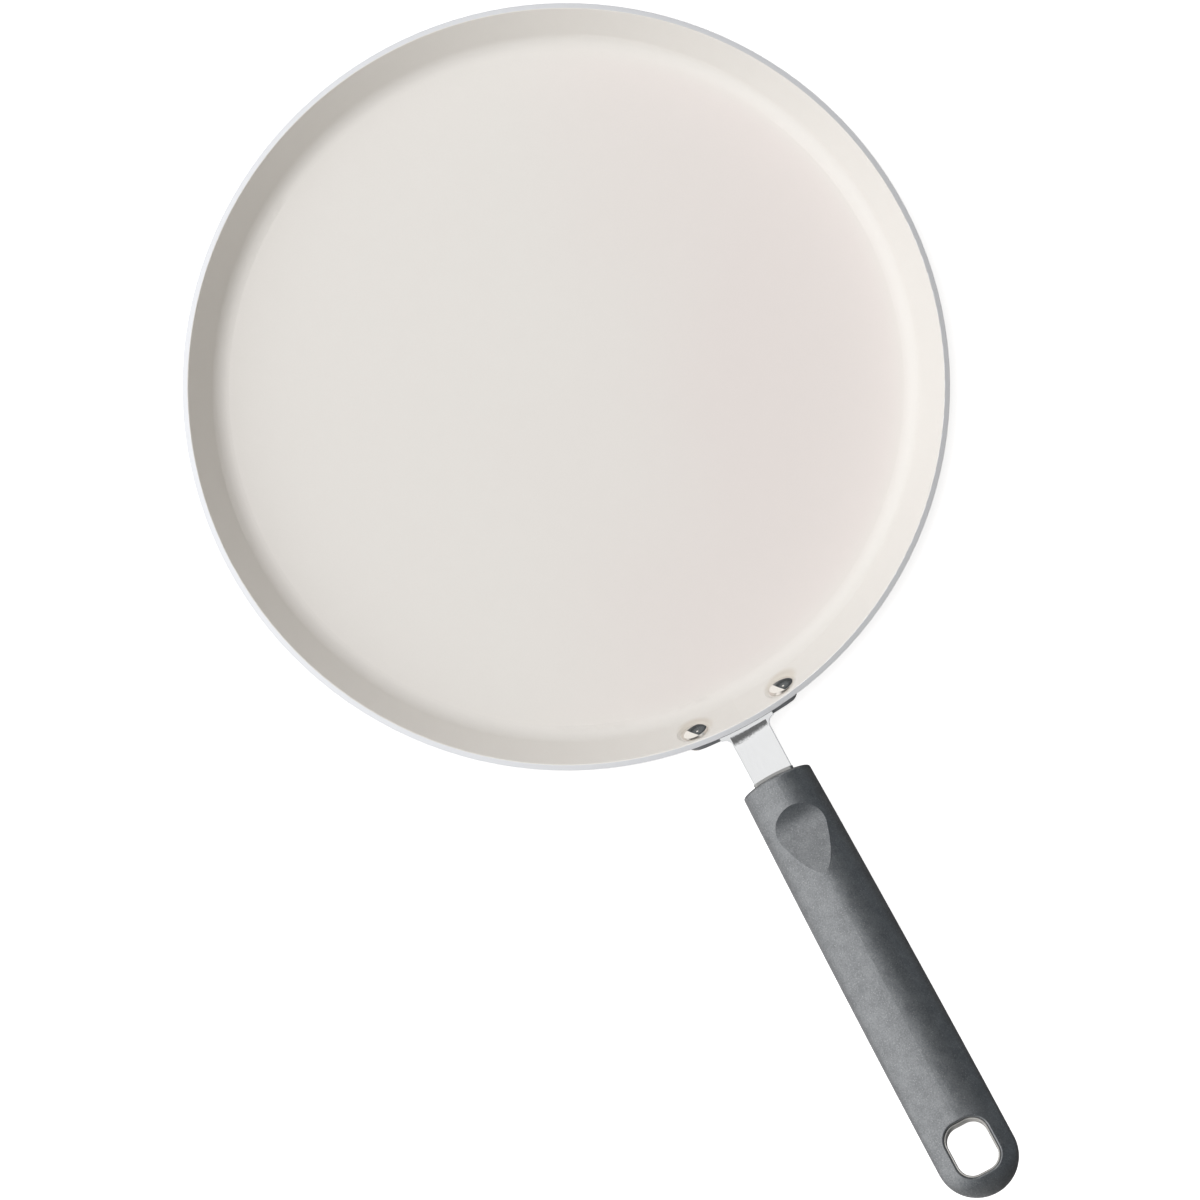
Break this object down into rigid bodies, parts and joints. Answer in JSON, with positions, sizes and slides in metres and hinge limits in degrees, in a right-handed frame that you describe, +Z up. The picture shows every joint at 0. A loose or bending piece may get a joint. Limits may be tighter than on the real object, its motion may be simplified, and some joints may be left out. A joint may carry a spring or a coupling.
{
  "type": "crepe pan",
  "caption": "Round flat crepe pan with a low flared wall, riveted steel bracket and a moulded grip with a thumb recess and a hanging hole.",
  "frame": {"origin": "centre of the round flat face that the pan rests on", "axes": "+X from the pan's centre out along the handle, +Z up, away from the resting face; +Y completes a right-handed frame"},
  "size_m": [0.4672, 0.2798, 0.0689],
  "materials": {
    "coated_aluminium": "pressed aluminium, cream ceramic coat with a soft gloss, bare metal on the rim and the base",
    "bracket_steel": "polished stamped steel",
    "rivet_steel": "polished domed heads",
    "grip_plastic": "charcoal moulding with a fine speckle and a soft matte feel",
    "collar_steel": "satin"
  },
  "bodies": {
    "root": {"pan_body": "coated_aluminium", "handle_bracket": "bracket_steel", "rivet_left": "rivet_steel", "rivet_right": "rivet_steel", "grip": "grip_plastic", "grip_collar": "collar_steel", "hang_hole_liner": "collar_steel"}
  },
  "joints": []
}
